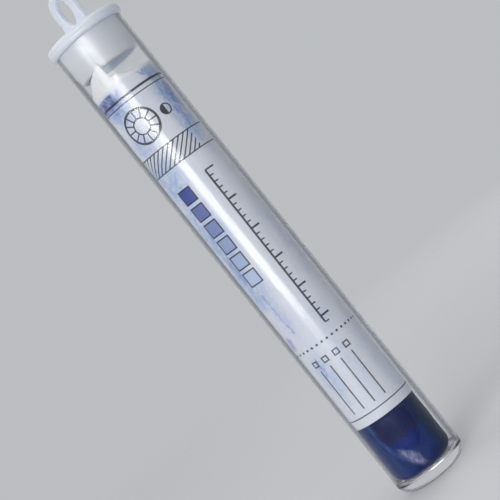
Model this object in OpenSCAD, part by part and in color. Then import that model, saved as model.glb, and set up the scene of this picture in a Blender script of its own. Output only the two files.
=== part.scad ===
// Oil paint stick in a paper wrap, packed in a clear tube with a push-in hang cap.
// The tube stands on its flat base: +Z runs up the tube and the origin is the centre of the base.

/* [Paint stick] */
// Diameter of the cast paint stick
stick_d = 18.7; // [12:0.1:30]
// Length of the paint stick
stick_length = 133.5; // [80:0.5:200]
// Radius of the rounded edge at the bare lower end
stick_end_r = 3; // [1:0.25:5]

/* [Paper wrap] */
// Thickness of the paper wrap
paper_t = 0.25; // [0.1:0.05:0.4]
// Slack of the paper round the stick
wrap_slack = 0.02; // [0.01:0.01:0.1]
// Length of stick left bare below the wrap
bare_length = 19; // [8:0.5:40]
// Outer radius of the fold where the paper turns in over the stick
fold_r = 0.9; // [0.6:0.1:1.2]
// Reach of the folded-in paper towards the middle of the end
fold_reach = 6; // [3:0.5:7]
// Number of pleats in the folded-in paper
pleat_count = 13; // [6:1:20]
// Height of the pleats at the inner edge of the folded-in paper
pleat_h = 0.6; // [0.2:0.1:1]
// Height of the paper tongue that stands up past the fold
tongue_h = 6.8; // [6:0.1:12]
// Height of the corner in the tongue's sloping edge
tongue_corner_h = 4.5; // [3:0.1:6]
// Height of the low shoulder behind the tongue
shoulder_h = 1.4; // [0.5:0.1:2]
// Height of the low hump in front of the tongue
hump_h = 1.7; // [0.6:0.1:2.5]
// Gap left between the tip of the tongue and the tube
tongue_gap = 0.2; // [0.1:0.05:0.3]
// Direction of the tongue's upright edge, in degrees round the stick
tongue_dir = -58; // [-180:1:180]
// Rise of the paper's lower edge round the stick, from one side of its lap to the other
wrap_skew = 1.6; // [0.1:0.1:3]

/* [Tube] */
// Wall of the clear tube
tube_wall = 0.55; // [0.4:0.05:1.2]
// Air gap between the paper wrap and the tube
air_gap = 0.83; // [0.4:0.01:1.2]
// Thickness of the tube's base
base_t = 3.6; // [1.5:0.1:5]
// Radius of the outer edge of the base
base_edge_r = 3.5; // [1:0.1:5]
// Radius of the inner corner above the base
base_corner_r = 1; // [0.5:0.1:2]
// Room above the paper tongue, up to the straight stretch of the plug
tip_room = 3.9; // [2:0.1:10]
// Direction in which the foot of the stick leans, in degrees round the tube
lean_dir = 225; // [0:5:360]
// Gap left between the leaning wrap and the tube
lean_gap = 0.36; // [0.05:0.01:0.38]

/* [Cap] */
// Overhang of the cap's flange past the outside of the tube
flange_overhang = 1; // [0.8:0.1:3]
// Thickness of the flange
flange_t = 3.2; // [2.4:0.1:5]
// Radius of the flange's rounded edges
flange_edge_r = 1.1; // [0.4:0.1:1.2]
// Gap between the flange and the tube's mouth
seat_gap = 0.05; // [0.02:0.01:0.2]
// Length of the plug's straight upper stretch
plug_straight = 4.5; // [3:0.1:10]
// Length of the plug's tapered lower stretch, with its nose
plug_taper_length = 5.5; // [4:0.1:7]
// Radial clearance of the plug in the tube
plug_fit = 0.03; // [0.01:0.01:0.1]
// Amount by which the plug's radius narrows towards its nose
nose_taper = 1; // [0.8:0.1:1.6]
// Radius of the rounded edge of the nose
nose_edge_r = 1.3; // [0.6:0.1:1.6]
// Wall of the hollow plug
plug_wall = 1.3; // [0.8:0.1:2]
// Thickness of the cap over the hollow plug
crown_t = 1.6; // [1:0.1:2.2]

/* [Hang loop] */
// Width of the loop
loop_w = 10; // [9:0.1:14]
// Thickness of the loop
loop_t = 2; // [1.5:0.1:4]
// Height of the loop above the flange
loop_h = 12.1; // [11.5:0.1:18]
// Width of the hole in the loop
hole_w = 4.8; // [4.2:0.1:7]
// Height of the hole in the loop
hole_h = 8.6; // [6:0.1:9.2]
// Height of the hole's lower end above the flange
hole_lift = 1.6; // [0.2:0.1:1.8]

/* [Hidden] */
$fn = 96;
arc_steps = 6;
wrap_steps = 120;
bend_steps = 5;
cut_over = 1;

// Radii, worked out from the stick outwards
stick_r = stick_d / 2;
wrap_r = stick_r + wrap_slack + paper_t;
bore_r = wrap_r + air_gap;
tube_r = bore_r + tube_wall;
flange_r = tube_r + flange_overhang;
plug_r = bore_r - plug_fit;
nose_r = plug_r - nose_taper;

// Lean of the stick: its top stays on the tube's axis and its foot swings out until the wrap nears the wall
wrap_length = stick_length - bare_length;
lean = atan((air_gap - lean_gap) / wrap_length);
foot_lift = (stick_r - stick_end_r) * sin(lean);

// Lean of the tongue outwards, until its tip nears the wall
tongue_flare = asin((air_gap - tongue_gap) / tongue_h);

// Heights, worked out from the base upwards
stick_top_z = base_t + stick_length * cos(lean) + foot_lift;
taper_z = stick_top_z + paper_t + tongue_h + tip_room;
flange_z = taper_z + plug_straight;
mouth_z = flange_z - seat_gap;
crown_z = flange_z + flange_t;
nose_z = taper_z - plug_taper_length;
hollow_top_z = crown_z - crown_t;

// Points of an arc about a centre, from one angle to another
function arc(centre, r, from, to) =
    [for (i = [0:arc_steps]) let (a = from + (to - from) * i / arc_steps) centre + r * [cos(a), sin(a)]];

// Half section of a round bar with rounded lower and upper edges
function bar_section(r, low, high, low_edge, high_edge) = concat(
    [[0, low]],
    arc([r - low_edge, low + low_edge], low_edge, -90, 0),
    arc([r - high_edge, high - high_edge], high_edge, 0, 90),
    [[0, high]]
);

// Half section of a cup's inside, open above
function cup_section(r, floor, mouth, corner) = concat(
    [[0, floor]],
    arc([r - corner, floor + corner], corner, -90, 0),
    [[r, mouth], [0, mouth]]
);

// Pose of the stick and its wrap: their own origin is the centre of the stick's upper end
module leaning() {
    translate([0, 0, stick_top_z])
        rotate([0, 0, lean_dir]) rotate([0, -lean, 0]) rotate([0, 0, -lean_dir])
        children();
}

module tube() {
    color([0.85, 0.9, 0.95, 0.35]) rotate_extrude() difference() {
        polygon(concat(
            [[0, 0]],
            arc([tube_r - base_edge_r, base_edge_r], base_edge_r, -90, 0),
            [[tube_r, mouth_z], [0, mouth_z]]
        ));
        polygon(cup_section(bore_r, base_t, mouth_z + cut_over, base_corner_r));
    }
}

module paint_stick() {
    color([0.06, 0.08, 0.3]) leaning() rotate_extrude() {
        polygon(bar_section(stick_r, -stick_length, 0, stick_end_r, fold_r));
    }
}

// Outside of the plug, from the flange down its straight and tapered sides to the rounded nose
plug_outside = concat(
    [[0, nose_z]],
    arc([nose_r - nose_edge_r, nose_z + nose_edge_r], nose_edge_r, -90, 0),
    [[plug_r, taper_z], [plug_r, flange_z + flange_t / 2], [0, flange_z + flange_t / 2]]
);

// Hollow of the plug, which keeps one wall all the way down
plug_hollow = [
    [0, nose_z - cut_over],
    [nose_r - plug_wall, nose_z - cut_over],
    [nose_r - plug_wall, nose_z + nose_edge_r],
    [plug_r - plug_wall, taper_z],
    [plug_r - plug_wall, hollow_top_z],
    [0, hollow_top_z]
];

// Outline of the hole in the loop, an upright ellipse about its own centre
loop_hole = [for (i = [0:35]) [hole_w / 2 * cos(i * 10), hole_h / 2 * sin(i * 10)]];

// Hang loop: an upright tab with a round top and an oval hole, rooted in the crown
module hang_loop() {
    translate([0, loop_t / 2, crown_z]) rotate([90, 0, 0]) linear_extrude(loop_t) difference() {
        union() {
            translate([0, loop_h - loop_w / 2]) circle(d = loop_w);
            translate([-loop_w / 2, -crown_t / 2]) square([loop_w, loop_h - loop_w / 2 + crown_t / 2]);
        }
        translate([0, hole_lift + hole_h / 2]) polygon(loop_hole);
    }
}

module cap() {
    color([0.86, 0.88, 0.93]) union() {
        rotate_extrude() difference() {
            union() {
                polygon(bar_section(flange_r, flange_z, crown_z, flange_edge_r, flange_edge_r));
                polygon(plug_outside);
            }
            polygon(plug_hollow);
        }
        hang_loop();
    }
}

// Length of paper in the bend: a quarter turn of the fold's radius, whatever angle it turns through
bend_length = fold_r * PI / 2;

// Length of upright paper past the bend that stands to a height above the fold
function upright(height) = max(paper_t, height + fold_r - bend_length);

// Upper edge of the wrap, by the angle from the tongue's upright edge:
// length of the free paper past the bend, and the angle through which the bend turns it inwards
paper_edge = [
    [-180, fold_reach, 90],
    [-104, fold_reach, 90],
    [-96, paper_t, 90],
    [-86, upright(shoulder_h), 0],
    [-52, upright(shoulder_h), 0],
    [-30, upright(tongue_corner_h), -tongue_flare],
    [-1.5, upright(tongue_h), -tongue_flare],
    [1.5, upright(hump_h), 0],
    [12, upright(hump_h), 0],
    [27, paper_t, 40],
    [36, paper_t, 90],
    [44, fold_reach, 90],
    [180, fold_reach, 90]
];
edge_length = [for (p = paper_edge) [p[0], p[1]]];
edge_turn = [for (p = paper_edge) [p[0], p[2]]];

// Place in the bend, as inward and upward distance, where the paper has turned through part of its angle
function bend_at(turn, part) = let (a = turn * part) abs(turn) < 0.01
    ? [0, bend_length * part]
    : bend_length * 180 / PI / turn * [1 - cos(a), sin(a)];

// Outer skin of the paper at one angle, as radius, height and slope, from the lower edge to the free edge
function outer_skin(low, turn, reach, pleat) = let (end = bend_at(turn, 1)) concat(
    [[wrap_r, low, 0]],
    [for (i = [0:bend_steps])
        let (p = bend_at(turn, i / bend_steps))
        [wrap_r - p[0], paper_t - fold_r + p[1], turn * i / bend_steps]],
    [for (part = [0.5, 1])
        [wrap_r - end[0] - reach * part * sin(turn),
         paper_t - fold_r + end[1] + reach * part * cos(turn) + pleat * part,
         turn]]
);

// Closed outline of the paper at one angle: up the outer skin and back along the inner one
function paper_outline(angle) =
    let (
        low = -wrap_length - wrap_skew * angle / 360,
        turn = lookup(angle, edge_turn),
        pleat = pleat_h * max(0, turn) / 90 * (1 - cos(angle * pleat_count)) / 2,
        outer = outer_skin(low, turn, lookup(angle, edge_length), pleat),
        inner = [for (p = outer) [p[0] - paper_t * cos(p[2]), p[1] - paper_t * sin(p[2])]]
    )
    concat([for (p = outer) [p[0], p[1]]], [for (i = [len(inner) - 1:-1:0]) inner[i]]);

module paper_wrap() {
    outlines = [for (i = [0:wrap_steps - 1]) paper_outline(-180 + 360 * i / wrap_steps)];
    n = len(outlines[0]);
    points = [for (i = [0:wrap_steps - 1]) let (a = tongue_dir - 180 + 360 * i / wrap_steps)
        for (p = outlines[i]) [p[0] * cos(a), p[0] * sin(a), p[1]]];
    faces = [for (i = [0:wrap_steps - 1]) for (j = [0:n - 1])
        let (i2 = (i + 1) % wrap_steps, j2 = (j + 1) % n)
        for (f = [[i * n + j, i * n + j2, i2 * n + j2], [i * n + j, i2 * n + j2, i2 * n + j]]) f];
    color([0.88, 0.88, 0.93]) leaning() polyhedron(points, faces);
}

tube();
cap();
paint_stick();
paper_wrap();
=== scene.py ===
import math

import bmesh
import bpy
from mathutils import Matrix, Vector, noise


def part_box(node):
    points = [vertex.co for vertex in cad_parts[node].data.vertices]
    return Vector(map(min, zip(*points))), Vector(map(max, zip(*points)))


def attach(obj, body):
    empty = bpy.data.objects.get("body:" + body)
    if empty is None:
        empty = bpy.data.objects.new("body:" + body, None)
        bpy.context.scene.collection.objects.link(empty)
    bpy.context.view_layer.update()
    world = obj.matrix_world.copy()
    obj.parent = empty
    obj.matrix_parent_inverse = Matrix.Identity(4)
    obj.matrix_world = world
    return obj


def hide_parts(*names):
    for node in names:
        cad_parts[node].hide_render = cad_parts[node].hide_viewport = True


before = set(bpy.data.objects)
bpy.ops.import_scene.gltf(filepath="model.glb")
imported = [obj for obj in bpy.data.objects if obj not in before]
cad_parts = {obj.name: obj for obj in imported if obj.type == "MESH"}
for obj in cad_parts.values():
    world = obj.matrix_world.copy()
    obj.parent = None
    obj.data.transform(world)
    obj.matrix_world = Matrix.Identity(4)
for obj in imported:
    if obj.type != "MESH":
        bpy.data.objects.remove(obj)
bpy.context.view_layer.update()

mm = 0.001  # every size below is in millimetres
scene = bpy.context.scene
scene.view_settings.view_transform = "Standard"
scene.cycles.caustics_reflective = False
scene.cycles.caustics_refractive = False

# camera: beside the standing tube, rolled so that the tube lies across the picture
shot = {
    "azimuth": 45,       # degrees round the tube
    "distance": 433,
    "height": 86.9,
    "aside": -1.73,      # camera a little to the left of the tube's axis
    "tilt": 0.96,        # degrees, looking down
    "roll": 38.71,       # degrees
    "pixelsPerMm": 3.645,
    "pictureSide": 500,  # pixels
    "sensor": 36,
    "nearest": 10,       # nothing closer is drawn
}
turn = math.radians(shot["azimuth"])
facing = Vector((math.sin(turn), -math.cos(turn), 0))  # from the tube towards the camera
across = Vector((math.cos(turn), math.sin(turn), 0))   # to the right of the unrolled picture
up = Vector((0, 0, 1))


def makeCamera():
    data = bpy.data.cameras.new("camera")
    data.sensor_width = shot["sensor"]
    data.lens = shot["pixelsPerMm"] * shot["distance"] * shot["sensor"] / shot["pictureSide"]
    data.clip_start = shot["nearest"] * mm
    camera = bpy.data.objects.new("camera", data)
    scene.collection.objects.link(camera)
    tilt = math.radians(shot["tilt"])
    roll = math.radians(shot["roll"])
    back = facing * math.cos(tilt) + up * math.sin(tilt)
    over = up * math.cos(tilt) - facing * math.sin(tilt)
    right = across * math.cos(roll) - over * math.sin(roll)
    top = across * math.sin(roll) + over * math.cos(roll)
    camera.matrix_world = Matrix((right, top, back)).transposed().to_4x4()
    camera.location = (facing * shot["distance"] + across * shot["aside"] + up * shot["height"]) * mm
    scene.camera = camera


makeCamera()
print("camera set")


# mesh helpers
def arc(centreR, centreZ, radius, start, end, steps):
    angles = [math.radians(start + (end - start) * i / steps) for i in range(steps + 1)]
    return [(centreR + radius * math.cos(a), centreZ + radius * math.sin(a)) for a in angles]


def spread(start, end, count):
    return [start + (end - start) * i / (count - 1) for i in range(count)]


def smooth(low, high, value):
    t = min(1, max(0, (value - low) / (high - low)))
    return t * t * (3 - 2 * t)


def knots(table, column, at):  # a column's value between the two rows that a place lies between
    for a, b in zip(table, table[1:]):
        if a[0] <= at <= b[0]:
            return a[column] + (b[column] - a[column]) * (at - a[0]) / (b[0] - a[0])
    return table[-1][column]


def meshPiece(name, bm):
    bmesh.ops.recalc_face_normals(bm, faces=bm.faces)
    mesh = bpy.data.meshes.new(name)
    bm.to_mesh(mesh)
    bm.free()
    mesh.shade_smooth()
    piece = bpy.data.objects.new(name, mesh)
    scene.collection.objects.link(piece)
    return piece


def joinRings(bm, rings, closed=False):
    pairs = list(zip(rings, rings[1:]))
    if closed:
        pairs.append((rings[-1], rings[0]))
    for low, high in pairs:
        count = max(len(low), len(high))
        for i in range(count):
            j = (i + 1) % count
            corners = [low[i % len(low)], low[j % len(low)], high[j % len(high)], high[i % len(high)]]
            bm.faces.new(list(dict.fromkeys(corners)))  # a pole gives triangles


def spin(name, outline, steps):
    bm = bmesh.new()
    rings = []
    for radius, height in outline:
        angles = [math.tau * i / steps for i in range(steps)] if radius else [0]
        rings.append([bm.verts.new((radius * mm * math.cos(a), radius * mm * math.sin(a), height * mm))
                      for a in angles])
    joinRings(bm, rings)
    return meshPiece(name, bm)


def finishPiece(piece, material, body, node):
    piece.data.materials.append(material)
    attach(piece, body)
    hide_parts(node)
    print(piece.name, "made,", len(piece.data.polygons), "faces")


# material helpers
def newMaterial(name, finish):  # finish holds what is the same all over the surface
    material = bpy.data.materials.new(name)
    material.use_nodes = True
    tree = material.node_tree
    shader = tree.nodes["Principled BSDF"]
    for socket, value in finish.items():
        shader.inputs[socket].default_value = value
    return material, tree, shader


def add(tree, kind, **settings):
    node = tree.nodes.new("ShaderNode" + kind)
    for key, value in settings.items():
        setattr(node, key, value)
    return node


def feed(tree, socket, value):
    if isinstance(value, bpy.types.NodeSocket):
        tree.links.new(value, socket)
    else:
        socket.default_value = value


def calc(tree, operation, *values, clamp=False):
    node = add(tree, "Math", operation=operation, use_clamp=clamp)
    for socket, value in zip(node.inputs, values):
        feed(tree, socket, value)
    return node.outputs[0]


def fade(tree, value, low, high, start=0.0, end=1.0):
    node = add(tree, "MapRange", interpolation_type="SMOOTHSTEP")
    for socket, number in zip(node.inputs, (value, low, high, start, end)):
        feed(tree, socket, number)
    return node.outputs[0]


def product(tree, *values):
    total = values[0]
    for value in values[1:]:
        total = calc(tree, "MULTIPLY", total, value)
    return total


def most(tree, values):
    total = values[0]
    for value in values[1:]:
        total = calc(tree, "MAXIMUM", total, value)
    return total


def offset(tree, value, middle):
    return calc(tree, "SUBTRACT", value, float(middle))


def farOff(tree, value, middle):
    return calc(tree, "ABSOLUTE", offset(tree, value, middle))


def share(tree, value, middle, half):  # offset as a share of a half width
    return calc(tree, "DIVIDE", offset(tree, value, middle), float(half))


def slantLength(tree, a, b):  # straight distance from two offsets at right angles
    return calc(tree, "SQRT", calc(tree, "MULTIPLY_ADD", a, a, calc(tree, "MULTIPLY", b, b)))


def stripe(tree, value, middle, half, soft=0.07):
    return fade(tree, farOff(tree, value, middle), half + soft, max(half - soft, 0.0))


def blendColour(tree, factor, first, second):
    node = add(tree, "Mix", data_type="RGBA")
    feed(tree, node.inputs[0], factor)
    for socket, colour in ((node.inputs[6], first), (node.inputs[7], second)):
        feed(tree, socket, colour if isinstance(colour, bpy.types.NodeSocket) else (*colour, 1))
    return node.outputs[2]


def mixShaders(tree, factor, first, second, output):
    node = add(tree, "MixShader")
    feed(tree, node.inputs[0], factor)
    tree.links.new(first.outputs[0], node.inputs[1])
    tree.links.new(second.outputs[0], node.inputs[2])
    tree.links.new(node.outputs[0], tree.nodes[output].inputs["Surface"])


def placeInMm(tree):
    coords = add(tree, "TexCoord")
    scaled = add(tree, "VectorMath", operation="SCALE")
    tree.links.new(coords.outputs["Object"], scaled.inputs[0])
    scaled.inputs["Scale"].default_value = 1 / mm
    return scaled.outputs[0]


def cloud(tree, place, size, detail=3.0, rough=0.55, stretch=(1, 1, 1), shift=0.0):
    mapping = add(tree, "Mapping")
    tree.links.new(place, mapping.inputs["Vector"])
    mapping.inputs["Location"].default_value = (shift, shift * 0.7, shift * 1.3)
    mapping.inputs["Scale"].default_value = [1 / (size * s) for s in stretch]
    texture = add(tree, "TexNoise")
    tree.links.new(mapping.outputs[0], texture.inputs["Vector"])
    texture.inputs["Scale"].default_value = 1
    texture.inputs["Detail"].default_value = detail
    texture.inputs["Roughness"].default_value = rough
    return texture.outputs[0]


def bumpInto(tree, shader, height, strength, depth):
    node = add(tree, "Bump")
    node.inputs["Strength"].default_value = strength
    node.inputs["Distance"].default_value = depth * mm
    tree.links.new(height, node.inputs["Height"])
    tree.links.new(node.outputs[0], shader.inputs["Normal"])


# sizes that the pieces share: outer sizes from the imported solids, the others as in the part's source
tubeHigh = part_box("tube")[1]
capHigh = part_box("cap")[1]
tube = {
    "radius": tubeHigh.x / mm,
    "mouth": tubeHigh.z / mm,
    "wall": 0.55,
    "base": 3.6,         # thickness of the base
    "baseEdge": 3.5,     # rounding under the base
    "baseCorner": 1.0,   # rounding between the floor and the bore
    "lip": 0.16,         # rounding of the mouth's edges
    "sideLow": 8,        # rows of faces on the walls start here
    "sideTop": 2,        # and end this far below the mouth
    "rows": 24,
    "steps": 288,
    "tint": (0.985, 0.99, 1.0),
    "paintedEdgeShade": (0.29, 0.32, 0.37),  # painted shade, where the wall is seen nearly edge on
    "roughness": 0.012,
    "rubbed": 0.015,     # roughness added by scuffs
    "finish": {
        "IOR": 1.5,
        "Specular Tint": (0.06, 0.06, 0.06, 1),
        "Coat Weight": 0.2,
        "Coat Roughness": 0.12,
        "Transmission Weight": 1,
    },
}
tube["bore"] = tube["radius"] - tube["wall"]
stick = {
    "radius": 9.35,
    "length": 133.5,
    "endEdge": 3.0,      # rounding of the lower end
    "topEdge": 0.9,
    "leanTowards": 225,  # degrees round the tube
    "leanGap": 0.36,     # left between the leaning wrap and the tube
    "lumps": ((0.35, 0.09), (1.3, 0.035)),  # how close and how high the lumps of the casting are
    "sunk": 0.04,        # keeps the lumps inside the solid
    "bareRows": 66,
    "coveredRows": 12,
    "steps": 360,
}
wrap = {
    "radius": 9.62,
    "thickness": 0.25,
    "bare": 19,          # length of the stick below the paper
    "skew": 1.6,         # rise of the lower edge from one side of the lap to the other
    "lap": 0.15,         # step at the lap
    "fold": 0.9,         # radius of the fold
    "reach": 6.0,        # paper tucked in over the stick's end
    "pleats": 13,
    "pleatHeight": 0.6,
    "tongue": 6.8,       # heights of the standing paper
    "corner": 4.5,
    "shoulder": 1.4,
    "hump": 1.7,
    "tongueTurn": -58,   # degrees round the stick
    "tongueGap": 0.2,    # left between the tongue and the tube
    "broadCrease": 0.05,
    "fineCrease": 0.025,
    "sunk": 0.03,        # keeps the creases inside the solid
    "dent": 0.3,         # depth of the creases in the standing paper
    "rows": 60,
    "insideRows": (0, 20, 39, 58),  # the hidden side needs few rows
    "steps": 480,
}
airGap = tube["bore"] - wrap["radius"]
wrap["length"] = stick["length"] - wrap["bare"]
leanTurn = math.radians(stick["leanTowards"])
lean = math.atan((airGap - stick["leanGap"]) / wrap["length"])
stickTop = (tube["base"] + stick["length"] * math.cos(lean)
            + (stick["radius"] - stick["endEdge"]) * math.sin(lean))
leaning = (Matrix.Translation((0, 0, stickTop * mm)) @ Matrix.Rotation(leanTurn, 4, "Z")
           @ Matrix.Rotation(-lean, 4, "Y") @ Matrix.Rotation(-leanTurn, 4, "Z"))
frontAngle = math.radians(shot["azimuth"] - 90 - wrap["tongueTurn"])  # from the tongue's edge to the front


def roundAndDown(tree, place, radius):  # arc length from the front of the stick, and depth below its top
    turned = add(tree, "VectorRotate", rotation_type="Z_AXIS")
    tree.links.new(place, turned.inputs["Vector"])
    turned.inputs["Angle"].default_value = -math.radians(wrap["tongueTurn"])
    split = add(tree, "SeparateXYZ")
    tree.links.new(turned.outputs[0], split.inputs[0])
    x, y, z = split.outputs
    angle = calc(tree, "ARCTAN2", y, x)
    arcLength = calc(tree, "MULTIPLY_ADD", angle, radius, -radius * frontAngle)
    return arcLength, calc(tree, "MULTIPLY", z, -1.0)


# clear tube
def clearPlastic():
    material, tree, shader = newMaterial("clear_plastic", tube["finish"])
    place = placeInMm(tree)
    edge = add(tree, "LayerWeight")
    edge.inputs["Blend"].default_value = 0.5
    glance = edge.outputs["Facing"]
    # painted shade: the glass colour darkens where the wall is seen nearly edge on
    rim = product(tree, fade(tree, glance, 0.48, 0.6), fade(tree, glance, 1.05, 0.72))
    tint = blendColour(tree, rim, tube["tint"], tube["paintedEdgeShade"])
    tree.links.new(tint, shader.inputs["Base Color"])
    scuffs = cloud(tree, place, 0.5, detail=4, rough=0.6, stretch=(1, 1, 14))
    haze = cloud(tree, place, 6, detail=2, rough=0.5, stretch=(1, 1, 3), shift=4)
    worn = product(tree, fade(tree, scuffs, 0.56, 0.72), fade(tree, haze, 0.42, 0.65))
    roughness = calc(tree, "MULTIPLY_ADD", worn, tube["rubbed"], tube["roughness"])
    tree.links.new(roughness, shader.inputs["Roughness"])
    waves = cloud(tree, place, 9, detail=1, rough=0.4, stretch=(1, 1, 2.5), shift=7)
    bumpInto(tree, shader, waves, strength=0.05, depth=0.4)
    clear = add(tree, "BsdfTransparent")
    rays = add(tree, "LightPath")
    passes = calc(tree, "MAXIMUM", rays.outputs["Is Shadow Ray"], rays.outputs["Is Diffuse Ray"])
    mixShaders(tree, passes, shader, clear, "Material Output")
    return material


def makeTube():
    lip = tube["lip"]
    edge = tube["baseEdge"]
    corner = tube["baseCorner"]
    sides = spread(tube["sideLow"], tube["mouth"] - tube["sideTop"], tube["rows"])
    backDown = spread(tube["mouth"] - tube["sideTop"], tube["sideLow"], tube["rows"])
    outline = [(r, 0) for r in (0, 2.5, 5)]
    outline += arc(tube["radius"] - edge, edge, edge, -90, 0, 18)
    outline += [(tube["radius"], z) for z in sides]
    outline += arc(tube["radius"] - lip, tube["mouth"] - lip, lip, 0, 90, 5)
    outline += arc(tube["bore"] + lip, tube["mouth"] - lip, lip, 90, 180, 5)
    outline += [(tube["bore"], z) for z in backDown]
    outline += arc(tube["bore"] - corner, tube["base"] + corner, corner, 0, -90, 10)
    outline += [(r, tube["base"]) for r in (6, 3, 0)]
    piece = spin("clear_tube", outline, tube["steps"])
    finishPiece(piece, clearPlastic(), "packed_tube", "tube")


makeTube()


# push-in cap with its hang loop
cap = {
    "flange": 3.2,
    "flangeRadius": capHigh.x / mm,
    "flangeEdge": 1.1,
    "groove": 0.14,      # depth of the groove round the flange
    "grooveHalf": 0.2,
    "grooveLevel": 0.52,  # share of the flange below it
    "straight": 4.5,
    "taper": 5.5,
    "narrowing": 1.0,
    "swell": 0.85,       # 1 is a straight taper, less bulges
    "noseEdge": 1.3,
    "noseTrim": 0.25,    # the nose is rounded this much less
    "fit": 0.03,
    "wall": 1.3,
    "crownThick": 1.6,
    "hollowCorner": 0.6,
    "rimEdge": 0.3,      # rounding of the hollow's lower edge
    "loopWidth": 10.0,
    "loopThick": 2.0,
    "loopHeight": 12.1,
    "holeWidth": 4.8,
    "holeHeight": 8.6,
    "holeLift": 1.6,
    "loopEdge": 0.32,    # rounding of the loop's edges
    "loopSteps": 144,
    "steps": 192,
    "milky": (0.72, 0.775, 0.985),
    "pale": (0.775, 0.82, 0.995),
    "finish": {
        "IOR": 1.5,
        "Subsurface Weight": 1,
        "Subsurface Radius": (0.9, 1.0, 1.15),
        "Subsurface Scale": 4 * mm,
    },
}
cap["crown"] = capHigh.z / mm - cap["loopHeight"]


def milkyPlastic():
    material, tree, shader = newMaterial("milky_plastic", cap["finish"])
    place = placeInMm(tree)
    mottle = cloud(tree, place, 5, rough=0.5)
    colour = blendColour(tree, fade(tree, mottle, 0.3, 0.7), cap["milky"], cap["pale"])
    tree.links.new(colour, shader.inputs["Base Color"])
    fine = cloud(tree, place, 0.25, rough=0.6, shift=3)
    tree.links.new(fade(tree, fine, 0.3, 0.7, start=0.3, end=0.42), shader.inputs["Roughness"])
    ripples = cloud(tree, place, 1.6, rough=0.5, shift=9)
    bumpInto(tree, shader, ripples, strength=0.15, depth=0.15)
    return material


def loopReach(angle, low, high, half):  # distance from the hole's middle to the tab's outline
    c = math.cos(angle)
    s = math.sin(angle)
    if abs(c) > 1e-9:
        side = half / abs(c)
        if low <= side * s <= high:
            return side
    if s > 0:  # round top, a circle about a point straight above or below the hole's middle
        return high * s + math.sqrt(half ** 2 - (high * c) ** 2)
    return low / s


def makeLoop():
    half = cap["loopWidth"] / 2
    middle = cap["crown"] + cap["holeLift"] + cap["holeHeight"] / 2
    high = cap["crown"] + cap["loopHeight"] - half - middle
    low = cap["crown"] - cap["crownThick"] / 2 - middle
    edge = cap["loopEdge"]
    face = cap["loopThick"] / 2 - edge
    bm = bmesh.new()
    rings = []
    for i in range(cap["loopSteps"]):
        angle = math.tau * i / cap["loopSteps"]
        out = Vector((math.cos(angle), 0, math.sin(angle)))
        inner = 1 / math.hypot(out.x * 2 / cap["holeWidth"], out.z * 2 / cap["holeHeight"]) + edge
        outer = loopReach(angle, low, high, half) - edge
        section = []
        for r, y, start in ((outer, face, 0), (inner, face, 90), (inner, -face, 180), (outer, -face, 270)):
            section += arc(r, y, edge, start, start + 90, 5)
        rings.append([bm.verts.new((out * r + Vector((0, y, middle))) * mm) for r, y in section])
    joinRings(bm, rings, closed=True)
    return meshPiece("hang_loop", bm)


def capOutline():
    seat = cap["crown"] - cap["flange"]
    taperTop = seat - cap["straight"]
    nose = taperTop - cap["taper"]
    taperLow = nose + cap["noseEdge"]
    plug = tube["bore"] - cap["fit"]
    noseRadius = plug - cap["narrowing"]
    inside = noseRadius - cap["wall"]
    hollow = cap["crown"] - cap["crownThick"]
    hollowRadius = plug - cap["wall"]
    corner = cap["hollowCorner"]
    rimEdge = cap["rimEdge"]
    noseEdge = cap["noseEdge"] - cap["noseTrim"]
    edge = cap["flangeEdge"]
    rim = cap["flangeRadius"]
    groove = seat + cap["flange"] * cap["grooveLevel"]
    grooveHalf = cap["grooveHalf"]
    outline = [(r, hollow) for r in (0, 4, 7.5)]
    outline += arc(hollowRadius - corner, hollow - corner, corner, 90, 0, 6)
    outline += [(hollowRadius, z) for z in spread(hollow - 1, taperTop, 6)]
    outline += [(inside, taperLow), (inside, nose + rimEdge)]
    outline += arc(inside + rimEdge, nose + rimEdge, rimEdge, 180, 270, 5)
    outline += arc(noseRadius - noseEdge, nose + noseEdge, noseEdge, -90, -14, 10)
    for part in spread(0.06, 1, 10):
        outline.append((noseRadius + cap["narrowing"] * part ** cap["swell"],
                        taperLow + (cap["taper"] - cap["noseEdge"]) * part))
    outline += [(plug, z) for z in spread(taperTop + 0.5, seat - 0.1, 10)]
    outline += [(plug + 0.15, seat), (tube["radius"] - 0.2, seat)]  # flat ring that sits on the mouth
    outline += arc(rim - edge, seat + edge, edge, -90, 0, 10)
    outline += [(rim, groove - grooveHalf), (rim - cap["groove"], groove), (rim, groove + grooveHalf)]
    outline += arc(rim - edge, cap["crown"] - edge, edge, 0, 90, 10)
    outline += [(r, cap["crown"]) for r in (9, 6, 0)]
    return outline


def makeCap():
    body = spin("hang_cap", capOutline(), cap["steps"])
    loop = makeLoop()
    union = body.modifiers.new("loop", "BOOLEAN")
    union.operation = "UNION"
    union.solver = "EXACT"
    union.object = loop
    bpy.context.view_layer.update()
    shaped = bpy.data.meshes.new_from_object(body.evaluated_get(bpy.context.evaluated_depsgraph_get()))
    body.modifiers.clear()
    body.data = shaped
    bpy.data.objects.remove(loop)
    shaped.shade_smooth()
    shaped.set_sharp_from_angle(angle=math.radians(40))
    finishPiece(body, milkyPlastic(), "hang_cap", "cap")


makeCap()


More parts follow.
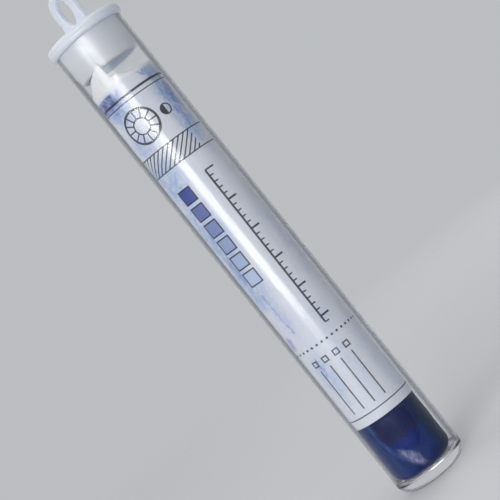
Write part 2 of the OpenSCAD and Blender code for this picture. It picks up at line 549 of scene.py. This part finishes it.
# bare lower end of the paint stick, pressed against the tube at the front
patch = {
    "low": 10.2,         # height of the patch's lower end
    "high": 22.5,        # just under the paper's edge
    "middle": -0.7,
    "halfWidth": 5.6,
    "fullness": 2.5,     # 2 is an ellipse, more is squarer
    "edge": 0.22,        # softness of its outline, as a share of its size
    "press": 0.02,       # how far the soft paint is drawn into the tube's wall
}
paint = {
    "deep": (0.004, 0.016, 0.105),
    "light": (0.008, 0.028, 0.165),
    "haze": (0.018, 0.05, 0.17),       # left of the patch: partly thin paint on the tube's inner wall, partly a painted reflection of that wall
    "shade": (0.004, 0.020, 0.055),    # right of the patch
    "pressed": (0.005, 0.014, 0.078),  # on the patch
    "paintedBronzeSheen": (0.015, 0.015, 0.076),   # painted bronze sheen, in strokes on the patch
    "vivid": (0.003, 0.021, 0.185),    # lower end of the patch
    "halo": (0.05, 0.09, 0.26),        # along its left outline
    "paintedHighlight": (0.36, 0.36, 0.56),       # painted highlight below it, pale and streaky
    "finish": {"IOR": 1.45, "Specular IOR Level": 0.1},
}
paintedHighlight = {  # place, slant and size of the painted highlight
    "below": 1.2,
    "aside": 2.0,
    "slant": -0.5,
    "halfWide": 1.9,
    "halfLong": 4.4,
    "ragged": 2.6,
}


def paintedHighlightShare(tree, place, s, drop, mottle):  # how much of the painted highlight is seen
    bent = calc(tree, "MULTIPLY_ADD", mottle, paintedHighlight["ragged"], -paintedHighlight["ragged"] / 2)
    slanted = calc(tree, "MULTIPLY_ADD", drop, paintedHighlight["slant"], s)
    wide = calc(tree, "ADD", slanted, calc(tree, "ADD", bent, paintedHighlight["aside"]))
    wide = calc(tree, "DIVIDE", wide, paintedHighlight["halfWide"])
    long = calc(tree, "DIVIDE", calc(tree, "ADD", drop, bent), paintedHighlight["halfLong"])
    highlightStreaks = cloud(tree, place, 1.2, rough=0.6, stretch=(1, 1, 1.8), shift=11)
    streaky = fade(tree, highlightStreaks, 0.32, 0.66, start=0.15)
    return product(tree, fade(tree, slantLength(tree, wide, long), 1.15, 0.1), streaky)


def paintSkin():
    material, tree, shader = newMaterial("oil_paint", paint["finish"])
    place = placeInMm(tree)
    s, down = roundAndDown(tree, place, stick["radius"])
    low = stickTop - patch["low"]
    high = stickTop - patch["high"]
    mottle = cloud(tree, place, 4.5)
    strokes = cloud(tree, place, 1.4, rough=0.6, stretch=(1, 1, 4), shift=5)
    colour = blendColour(tree, fade(tree, mottle, 0.35, 0.68), paint["deep"], paint["light"])
    # lighter blue left of the patch: thin paint on the wall, and a painted reflection of the wall
    thinPaintAndPaintedReflection = product(tree, stripe(tree, s, -6.6, 1.4, soft=1.4), fade(tree, strokes, 0.3, 0.6), 0.8)
    colour = blendColour(tree, thinPaintAndPaintedReflection, colour, paint["haze"])
    shade = product(tree, fade(tree, s, 5.0, 7.5), fade(tree, s, 20.0, 13.0), 0.85)
    colour = blendColour(tree, shade, colour, paint["shade"])
    wide = share(tree, s, patch["middle"], patch["halfWidth"])
    long = share(tree, down, high, low - high)
    power = patch["fullness"]
    far = calc(tree, "ADD", calc(tree, "POWER", calc(tree, "ABSOLUTE", wide), power),
               calc(tree, "POWER", calc(tree, "ABSOLUTE", long), power))
    # painted sheen: bronze strokes over the pressed paint
    paintedBronzeSheen = blendColour(tree, fade(tree, strokes, 0.42, 0.66), paint["pressed"], paint["paintedBronzeSheen"])
    vivid = blendColour(tree, fade(tree, long, 0.5, 0.82), paintedBronzeSheen, paint["vivid"])
    colour = blendColour(tree, fade(tree, far, 1.08, 0.8), colour, vivid)
    halo = product(tree, stripe(tree, far, 1.3, 0.1, soft=0.3), fade(tree, wide, 0.5, -0.2),
                   fade(tree, strokes, 0.25, 0.6), 0.8)
    colour = blendColour(tree, halo, colour, paint["halo"])
    # painted highlight: a pale streaky spot below the patch
    paintedHighlightMask = paintedHighlightShare(tree, place, s, offset(tree, down, low + paintedHighlight["below"]), mottle)
    colour = blendColour(tree, paintedHighlightMask, colour, paint["paintedHighlight"])
    tree.links.new(colour, shader.inputs["Base Color"])
    tree.links.new(fade(tree, mottle, 0.3, 0.7, start=0.38, end=0.58), shader.inputs["Roughness"])
    bumpInto(tree, shader, strokes, strength=0.3, depth=0.2)
    return material


def paperLowAt(p):  # height of the paper's lower edge on the side where a point lies
    angle = math.degrees(math.atan2(p.y, p.x)) - wrap["tongueTurn"]
    return stickTop - wrap["length"] - wrap["skew"] * angle / 360


def pressPaint(p):  # lumps in the cast surface, and the patch that the soft paint makes on the wall
    out = Vector((p.x, p.y, 0)).normalized()
    p += out * (sum(noise.noise(p * close) * high for close, high in stick["lumps"]) - stick["sunk"])
    if p.dot(facing) > 0:
        level = abs(p.z - patch["high"]) / (patch["high"] - patch["low"])
        wide = abs(p.dot(across) - patch["middle"]) / patch["halfWidth"]
        far = (wide ** patch["fullness"] + level ** patch["fullness"]) ** (1 / patch["fullness"])
        inside = 1 - far + noise.noise(p * 0.8) * 0.03
        pressed = smooth(0, patch["edge"], inside) * smooth(0.05, 0.9, paperLowAt(p) - p.z)
        p += out * max(0, tube["bore"] + patch["press"] - math.hypot(p.x, p.y)) * pressed
    return p


def makeStick():
    r = stick["radius"]
    edge = stick["endEdge"]
    topEdge = stick["topEdge"]
    foot = -stick["length"]
    paperLow = -wrap["length"]
    outline = [(0, foot), (3, foot)]
    outline += arc(r - edge, foot + edge, edge, -90, 0, 14)
    outline += [(r, z) for z in spread(foot + edge + 0.25, paperLow + 0.5, stick["bareRows"])]
    outline += [(r, z) for z in spread(paperLow + 2, -2, stick["coveredRows"])]
    outline += arc(r - topEdge, -topEdge, topEdge, 0, 90, 6)
    outline += [(5, 0), (0, 0)]
    piece = spin("cast_paint", outline, stick["steps"])
    back = leaning.inverted()
    for v in piece.data.vertices:
        if v.co.z < paperLow * mm and v.co.xy.length > mm:
            v.co = back @ (pressPaint(leaning @ v.co / mm) * mm)
    piece.matrix_world = leaning
    finishPiece(piece, paintSkin(), "packed_tube", "paint_stick")


makeStick()


# paper wrap: the same loft as the solid, finer, with a lap, small creases and softer pleats
def upright(height):
    return max(wrap["thickness"], height + wrap["fold"] * (1 - math.pi / 2))


tongueFlare = math.degrees(math.asin((airGap - wrap["tongueGap"]) / wrap["tongue"]))
paperEdge = [  # angle from the tongue's upright edge, free paper past the bend, angle of the bend
    (-180, wrap["reach"], 90), (-104, wrap["reach"], 90), (-96, wrap["thickness"], 90),
    (-86, upright(wrap["shoulder"]), 0), (-52, upright(wrap["shoulder"]), 0),
    (-30, upright(wrap["corner"]), -tongueFlare), (-1.5, upright(wrap["tongue"]), -tongueFlare),
    (1.5, upright(wrap["hump"]), 0), (12, upright(wrap["hump"]), 0), (27, wrap["thickness"], 40),
    (36, wrap["thickness"], 90), (44, wrap["reach"], 90), (180, wrap["reach"], 90),
]


def bendAt(bend, part):
    length = wrap["fold"] * math.pi / 2
    if abs(bend) < 0.01:  # no bend, the paper runs straight up
        return 0, length * part
    a = math.radians(bend * part)
    scale = length / math.radians(bend)
    return scale * (1 - math.cos(a)), scale * math.sin(a)


def paperSection(angle):
    bend = knots(paperEdge, 2, angle)
    reach = knots(paperEdge, 1, angle)
    wave = 0.5 - 0.5 * math.cos(math.radians(angle * wrap["pleats"]))
    lift = wrap["pleatHeight"] * max(0, bend) / 90 * wave ** 0.7
    radius = wrap["radius"] - wrap["lap"] * smooth(150, 180, angle)
    fold = wrap["thickness"] - wrap["fold"]
    low = -wrap["length"] - wrap["skew"] * angle / 360
    skin = [(radius, z, 0) for z in spread(low, fold - 0.4, wrap["rows"])]
    for part in spread(0, 1, 9):
        inwards, upwards = bendAt(bend, part)
        skin.append((radius - inwards, fold + upwards, bend * part))
    inwards, upwards = bendAt(bend, 1)
    slope = math.radians(bend)
    for part in spread(0.1, 1, 8):
        skin.append((radius - inwards - reach * part * math.sin(slope),
                     fold + upwards + reach * part * math.cos(slope) + lift * part, bend))
    inside = [skin[row] for row in wrap["insideRows"]] + skin[wrap["rows"] - 1:]
    return skin, inside[::-1]


def outwards(out, bend):
    slope = math.radians(bend)
    return out * math.cos(slope) + up * math.sin(slope)


def creaseAt(p):  # faint creases all over, long ones and short ones
    broad = noise.noise(Vector((p.x * 0.25, p.y * 0.25, p.z * 0.07)))
    return wrap["broadCrease"] * broad + wrap["fineCrease"] * noise.noise(p * 0.5) - wrap["sunk"]


def dentAt(p):  # deeper creases in the paper that stands above the fold
    fine = abs(noise.noise(Vector((p.x * 0.45, p.y * 0.45, p.z * 0.3 + 7))))
    return smooth(0, 1.5, p.z) * wrap["dent"] * max(0, 1 - fine * 4)


def makeWrap():
    bm = bmesh.new()
    rings = []
    for i in range(wrap["steps"]):
        angle = -180 + 360 * i / wrap["steps"]
        plan = math.radians(angle + wrap["tongueTurn"])
        out = Vector((math.cos(plan), math.sin(plan), 0))
        skin, inside = paperSection(angle)
        ring = []
        for r, z, bend in skin:
            p = out * r + up * z
            p += outwards(out, bend) * (creaseAt(p) - dentAt(p))
            ring.append(bm.verts.new(p * mm))
        for r, z, bend in inside:
            p = out * r + up * z
            p -= outwards(out, bend) * (wrap["thickness"] + dentAt(p))
            ring.append(bm.verts.new(p * mm))
        rings.append(ring)
    joinRings(bm, rings, closed=True)
    piece = meshPiece("printed_wrap", bm)
    piece.data.set_sharp_from_angle(angle=math.radians(50))
    piece.matrix_world = leaning
    finishPiece(piece, labelPaper(), "packed_tube", "paper_wrap")


paper = {
    "dull": (0.73, 0.765, 0.875),
    "light": (0.79, 0.82, 0.915),
    "cool": (0.69, 0.73, 0.885),       # broad, faint clouds
    "clean": (0.87, 0.88, 0.90),       # above the fold
    "film": (0.24, 0.385, 0.70),
    "stain": (0.20, 0.28, 0.58),
    "thickStain": (0.035, 0.05, 0.20),
    "ink": (0.018, 0.02, 0.032),
    "deepSwatch": (0.02, 0.045, 0.30),
    "paleSwatch": (0.50, 0.60, 0.84),
    "finish": {  # thin paper lets some light through
        "IOR": 1.4,
        "Subsurface Weight": 0.5,
        "Subsurface Radius": (1.0, 1.0, 1.0),
        "Subsurface Scale": 0.5 * mm,
    },
}
washes = [  # thin blue films: arc length and depth of the middle, half width and half length, strength
    (-7.8, 30, 7.0, 9, 0.74),
    (-7.8, 48, 7.0, 14, 0.84),
    (-8.6, 66, 5.5, 10, 0.75),
    (8.4, 12, 4.2, 18, 1.0),
    (-7.0, 18, 5.0, 4.5, 0.6),
    (-7.0, 7, 5.0, 5.0, 0.8),
    (-6.4, 76, 2.4, 9, 0.4),
    (2.8, 83.5, 2.6, 6, 0.22),
    (-6.4, 98, 3.2, 10, 0.52),
    (0.8, 99, 3.0, 12, 0.22),
    (10.5, 60, 4.0, 22, 0.3),
    (10, 100, 4.5, 20, 0.25),
    (20, 40, 6, 24, 0.7),
    (-20, 60, 6, 28, 0.7),
    (27, 90, 5, 18, 0.6),
    (-26, 18, 5, 13, 0.7),
]
smudges = [  # thicker paint, rubbed off the fingers: the same columns
    (-7.4, 2.9, 5.6, 3.0, 0.9),
    (-12.0, 3.2, 4.0, 3.0, 1.0),
    (-6.4, 6.0, 2.4, 2.8, 0.4),
    (3.8, 1.3, 1.5, 0.5, 0.6),
    (5.8, 2.0, 1.6, 0.7, 0.5),
    (7.6, 4.6, 1.4, 2.6, 0.42),
    (9.6, 10, 2.0, 8, 0.55),
    (7.6, 17, 1.2, 6, 0.34),
    (-9.0, 60, 2.4, 7, 0.42),
    (-7.0, 75, 0.5, 8, 0.42),
    (-6.7, 81, 0.8, 1.8, 0.5),
    (-10.4, 84.5, 1.6, 3.2, 0.6),
    (-6.6, 94, 0.8, 4.0, 0.45),
    (19, 32, 3, 10, 0.6),
    (-19, 48, 3, 12, 0.6),
    (16, 3.6, 5, 3, 0.7),
    (-25, 10, 3, 6, 0.7),
    (27, 96, 2, 9, 0.55),
]
printed = {  # generic marks in black ink: places are arc lengths and depths on the sheet
    "line": 0.2,         # half width of a thin line
    "rules": ((4.2, 0.32), (5.7, 0.15), (21.2, 0.17), (27.2, 0.17), (111.8, 0.17)),
    "hatch": {"from": 21.2, "to": 27.2, "left": -40, "right": 6.2, "pitch": 1.7, "half": 0.27},
    "wheel": {"u": -3.6, "v": 13.4, "outer": 5.0, "inner": 2.3, "spokes": 12, "half": 0.34},
    "halfDisc": {"u": 4.6, "v": 13.4, "radius": 1.5},
    "swatches": {"u": -6.0, "from": 33, "pitch": 5.6, "count": 6, "half": 2.1},
    "ruler": {"u": 2.4, "from": 33, "to": 85, "half": 0.28, "ticks": ((2, 1.3, 0.2), (10, 2.8, 0.28))},
    "dots": {"v": 88.6, "pitch": 1.7, "radius": 0.36},
    "lines": {"u": (-7.6, -4.0, -0.4, 3.2), "from": 93, "to": 110, "box": 0.75, "gap": 2.2},
}


def block(tree, u, v, left, right, high, low):
    return product(tree, stripe(tree, u, (left + right) / 2, (right - left) / 2),
                   stripe(tree, v, (high + low) / 2, (low - high) / 2))


def repeated(tree, value, pitch, half, soft=0.06):  # lines at every multiple of the pitch
    return fade(tree, calc(tree, "PINGPONG", value, pitch / 2), half + soft, max(half - soft, 0.0))


def farFrom(tree, u, v, mark):
    du = offset(tree, u, mark["u"])
    dv = offset(tree, v, mark["v"])
    return slantLength(tree, du, dv), du, dv


def hatchMarks(tree, u, v):
    hatch = printed["hatch"]
    band = block(tree, u, v, hatch["left"], hatch["right"], hatch["from"], hatch["to"])
    return [product(tree, band, repeated(tree, calc(tree, "ADD", u, v), hatch["pitch"], hatch["half"]))]


def wheelMarks(tree, u, v):
    wheel = printed["wheel"]
    thin = printed["line"]
    far, du, dv = farFrom(tree, u, v, wheel)
    spoke = calc(tree, "PINGPONG", calc(tree, "ARCTAN2", dv, du), math.pi / wheel["spokes"])
    spokes = fade(tree, calc(tree, "MULTIPLY", spoke, far), thin + 0.07, thin - 0.07)
    between = stripe(tree, far, (wheel["outer"] + wheel["inner"]) / 2, (wheel["outer"] - wheel["inner"]) / 2)
    return [stripe(tree, far, wheel["outer"], wheel["half"]), stripe(tree, far, wheel["inner"], thin),
            product(tree, spokes, between)]


def discMarks(tree, u, v):
    disc = printed["halfDisc"]
    far, du = farFrom(tree, u, v, disc)[:2]
    within = fade(tree, far, disc["radius"], disc["radius"] - 0.1)
    filled = product(tree, within, fade(tree, du, 0.05, -0.05))
    return [stripe(tree, far, disc["radius"], printed["line"]), filled]


def rulerMarks(tree, u, v):
    ruler = printed["ruler"]
    at = ruler["u"]
    marks = [block(tree, u, v, at - ruler["half"], at + ruler["half"], ruler["from"], ruler["to"])]
    along = offset(tree, v, ruler["from"])
    for pitch, length, half in ruler["ticks"]:
        side = block(tree, u, v, at, at + length, ruler["from"] - 0.2, ruler["to"] + 0.2)
        marks.append(product(tree, repeated(tree, along, pitch, half, soft=0.05), side))
    return marks


def dotMarks(tree, u, v):
    dots = printed["dots"]
    far = slantLength(tree, offset(tree, v, dots["v"]), calc(tree, "PINGPONG", u, dots["pitch"] / 2))
    return [fade(tree, far, dots["radius"] + 0.06, dots["radius"] - 0.06)]


def lineMarks(tree, u, v):  # plain lines, each under a small box
    lines = printed["lines"]
    thin = printed["line"]
    marks = []
    for at in lines["u"]:
        marks.append(block(tree, u, v, at - thin, at + thin, lines["from"] + lines["gap"], lines["to"]))
        far = most(tree, [farOff(tree, u, at), farOff(tree, v, lines["from"])])
        marks.append(stripe(tree, far, lines["box"], thin))
    return marks


def inkMarks(tree, u, v):
    marks = [stripe(tree, v, at, half) for at, half in printed["rules"]]
    for drawn in (hatchMarks, wheelMarks, discMarks, rulerMarks, dotMarks, lineMarks):
        marks += drawn(tree, u, v)
    return marks


def swatchMarks(tree, u, v):  # a column of squares: ink outline, blue inside, and how pale the blue is
    swatches = printed["swatches"]
    start = swatches["from"]
    pitch = swatches["pitch"]
    half = swatches["half"]
    end = start + pitch * swatches["count"]
    near = calc(tree, "PINGPONG", offset(tree, v, start + pitch / 2), pitch / 2)
    far = most(tree, [near, farOff(tree, u, swatches["u"])])
    column = stripe(tree, v, (start + end) / 2, (end - start) / 2)
    outline = product(tree, stripe(tree, far, half, printed["line"]), column)
    inside = product(tree, fade(tree, far, half, half - 0.1), column)
    order = calc(tree, "FLOOR", share(tree, v, start, pitch))
    return outline, inside, calc(tree, "DIVIDE", order, swatches["count"] - 1.0, clamp=True)


def blobs(tree, s, down, table, core):
    spots = []
    for at, depth, halfWide, halfLong, strength in table:
        far = slantLength(tree, share(tree, s, at, halfWide), share(tree, down, depth, halfLong))
        spots.append(fade(tree, far, 1.2, core, end=strength))
    return most(tree, spots)


def labelPaper():
    material, tree, shader = newMaterial("label_paper", paper["finish"])
    place = placeInMm(tree)
    s, down = roundAndDown(tree, place, wrap["radius"])
    slant = wrap["skew"] / (math.tau * wrap["radius"])
    v = calc(tree, "MULTIPLY_ADD", s, -slant, down)  # depth on the sheet, which is wrapped a little askew
    fibre = cloud(tree, place, 0.35, detail=4, rough=0.65, stretch=(1, 1, 1.6))
    broad = cloud(tree, place, 14, detail=2, rough=0.5, stretch=(1, 1, 1.8), shift=2)
    colour = blendColour(tree, fade(tree, fibre, 0.3, 0.7), paper["dull"], paper["light"])
    colour = blendColour(tree, fade(tree, broad, 0.45, 0.7, end=0.5), colour, paper["cool"])
    colour = blendColour(tree, fade(tree, down, 0.5, -0.2), colour, paper["clean"])

    ragged = cloud(tree, place, 3.4, detail=6, rough=0.7, stretch=(1, 1, 1.6), shift=8)
    wisps = cloud(tree, place, 2.4, detail=5, rough=0.65, stretch=(1, 1, 2.2), shift=3)
    grainy = cloud(tree, place, 0.8, detail=4, rough=0.62, stretch=(1, 1, 1.5), shift=6)
    bentS = calc(tree, "MULTIPLY_ADD", ragged, 5.0, calc(tree, "SUBTRACT", s, 2.5))
    bentDown = calc(tree, "MULTIPLY_ADD", wisps, 6.0, calc(tree, "SUBTRACT", down, 3.0))
    speckle = fade(tree, grainy, 0.32, 0.68, start=0.2, end=0.7)
    patchy = calc(tree, "MULTIPLY_ADD", fade(tree, ragged, 0.36, 0.6), 0.35, speckle)
    washed = blobs(tree, bentS, bentDown, washes, core=0.3)
    film = product(tree, washed, patchy, fade(tree, down, 0.3, 1.5))
    colour = blendColour(tree, film, colour, paper["film"])
    smears = fade(tree, wisps, 0.36, 0.62, start=0.3, end=0.65)
    rubbed = calc(tree, "MULTIPLY_ADD", fade(tree, grainy, 0.36, 0.64), 0.4, smears)
    smudged = blobs(tree, bentS, bentDown, smudges, core=0.4)
    stain = product(tree, smudged, rubbed, fade(tree, down, 0.5, 1.5))
    colour = blendColour(tree, fade(tree, stain, 0.0, 0.5, end=0.75), colour, paper["stain"])
    colour = blendColour(tree, fade(tree, stain, 0.4, 1.0, end=0.95), colour, paper["thickStain"])

    outline, inside, order = swatchMarks(tree, s, v)
    tints = blendColour(tree, order, paper["deepSwatch"], paper["paleSwatch"])
    colour = blendColour(tree, calc(tree, "MULTIPLY", inside, 0.92), colour, tints)
    ink = most(tree, [*inkMarks(tree, s, v), outline])
    worn = fade(tree, fibre, 0.25, 0.5, start=0.75, end=0.95)
    inked = product(tree, ink, worn, fade(tree, down, 0.2, 0.6))
    colour = blendColour(tree, inked, colour, paper["ink"])
    tree.links.new(colour, shader.inputs["Base Color"])
    tree.links.new(fade(tree, stain, 0.1, 0.7, start=0.64, end=0.45), shader.inputs["Roughness"])
    bumpInto(tree, shader, fibre, strength=0.25, depth=0.08)
    return material


makeWrap()


# floor, backdrop and lights
studio = {
    "backdrop": (0.50, 0.515, 0.53),
    "fillColour": (0.96, 0.98, 1.0),
    "fillLeft": 0.4,     # soft light all round, dimmer from the right
    "fillRight": 0.18,
    "behindCamera": 0.2,  # how much of the backdrop stands behind the camera
    "aimHeight": 80,     # where the soft lamps point
    "floorColour": (0.74, 0.75, 0.77),
    "floorGrain": 0.985,  # how dark the darker grain is
    "floorRadius": 1500,
    "floorFade": (180.0, 720.0),
    "floorDrop": 0.05,   # keeps the floor just clear of the tube's base
    "floorSteps": 96,
    "floorFinish": {"Roughness": 0.9, "Specular IOR Level": 0},
}
lamps = {  # soft lamps that give the light: places are towards the camera, to its right, and up
    "key": {"place": (840, -330, 470), "side": 450, "power": 4.4},
    "overhead": {"place": (150, 0, 900), "side": 700, "power": 1.7},
    "behind": {"place": (-700, 350, 420), "side": 450, "power": 1.9},
}
panels = {  # what the tube mirrors or bends: turned from the front, soft is the fading share of each edge
    "key": {"turn": -13.2, "distance": 700, "low": 1, "high": 226, "width": 345, "power": 5.2,
            "soft": (0.12, 0.28, 0.06, 0.06), "rays": "glossy"},
    "side": {"turn": -37, "distance": 700, "low": 145, "high": 280, "width": 222, "power": 1.1,
             "soft": (0.12, 0.05, 0.2, 0.1), "rays": "glossy"},
    "base": {"turn": 187, "distance": 700, "low": 315, "high": 430, "width": 330, "power": 0.26,
             "soft": (0.3, 0.3, 0.35, 0.3), "rays": "transmission"},
}


def makeFloor():
    radii = [0] + spread(100, studio["floorRadius"], 15)
    floor = spin("floor", [(r, -studio["floorDrop"]) for r in radii], studio["floorSteps"])
    material, tree, shader = newMaterial("studio_floor", studio["floorFinish"])
    place = placeInMm(tree)
    grain = cloud(tree, place, 2.5, rough=0.6)
    low = [c * studio["floorGrain"] for c in studio["floorColour"]]
    tree.links.new(blendColour(tree, grain, low, studio["floorColour"]), shader.inputs["Base Color"])
    far = add(tree, "VectorMath", operation="LENGTH")
    tree.links.new(place, far.inputs[0])
    gone = fade(tree, far.outputs["Value"], *studio["floorFade"])
    mixShaders(tree, gone, shader, add(tree, "BsdfTransparent"), "Material Output")
    floor.data.materials.append(material)


def lookTowards(tree, direction):  # how far a ray points in a direction, from -1 to 1
    coords = add(tree, "TexCoord")
    dot = add(tree, "VectorMath", operation="DOT_PRODUCT")
    tree.links.new(coords.outputs["Generated"], dot.inputs[0])
    dot.inputs[1].default_value = direction
    return dot.outputs["Value"]


def makeWorld():
    world = bpy.data.worlds.new("studio")
    scene.world = world
    world.use_nodes = True
    tree = world.node_tree
    seen = tree.nodes["Background"]
    seen.inputs["Color"].default_value = (*studio["backdrop"], 1)
    rays = add(tree, "LightPath")
    dim = fade(tree, lookTowards(tree, facing), -0.3, 0.5, end=1.0 - studio["behindCamera"])
    dimmed = calc(tree, "MULTIPLY", dim, rays.outputs["Is Glossy Ray"])
    tree.links.new(calc(tree, "SUBTRACT", 1.0, dimmed), seen.inputs["Strength"])
    fill = add(tree, "Background")
    fill.inputs["Color"].default_value = (*studio["fillColour"], 1)
    strength = fade(tree, lookTowards(tree, across), -1.0, 1.0, studio["fillLeft"], studio["fillRight"])
    tree.links.new(strength, fill.inputs["Strength"])
    kinds = ("Is Camera Ray", "Is Glossy Ray", "Is Transmission Ray")
    direct = most(tree, [rays.outputs[kind] for kind in kinds])
    mixShaders(tree, direct, fill, seen, "World Output")


def areaLamp(name, width, height, power, place, towards, rays):  # rays is the one kind that sees the lamp
    data = bpy.data.lights.new(name, "AREA")
    data.shape = "RECTANGLE"
    data.size = width * mm
    data.size_y = height * mm
    data.energy = power
    lamp = bpy.data.objects.new(name, data)
    scene.collection.objects.link(lamp)
    lamp.location = place * mm
    lamp.rotation_mode = "QUATERNION"
    lamp.rotation_quaternion = towards.to_track_quat("-Z", "Y")
    lamp.visible_camera = False
    lamp.visible_diffuse = rays == "diffuse"
    lamp.visible_glossy = rays == "glossy"
    lamp.visible_transmission = rays == "transmission"
    return data


def makeLamp(name):
    facts = lamps[name]
    ahead, right, high = facts["place"]
    place = facing * ahead + across * right + up * high
    towards = up * studio["aimHeight"] - place
    areaLamp(name, facts["side"], facts["side"], facts["power"], place, towards, "diffuse")


def makePanel(name):
    facts = panels[name]
    a = math.radians(facts["turn"])
    aim = facing * math.cos(a) + across * math.sin(a)
    middle = (facts["high"] + facts["low"]) / 2
    data = areaLamp(name + "_streak", facts["width"], facts["high"] - facts["low"], facts["power"],
                    aim * facts["distance"] + up * middle, -aim, facts["rays"])
    data.use_nodes = True
    tree = data.node_tree
    split = add(tree, "SeparateXYZ")
    tree.links.new(add(tree, "NewGeometry").outputs["Parametric"], split.inputs[0])
    left, right, low, high = facts["soft"]
    x, y = split.outputs[:2]
    glow = product(tree, fade(tree, x, 0.0, left), fade(tree, x, 1.0, 1.0 - right),
                   fade(tree, y, 0.0, low), fade(tree, y, 1.0, 1.0 - high))
    tree.links.new(glow, tree.nodes["Emission"].inputs["Strength"])


makeFloor()
makeWorld()
for lampName in lamps:
    makeLamp(lampName)
for panelName in panels:
    makePanel(panelName)
print("studio set")
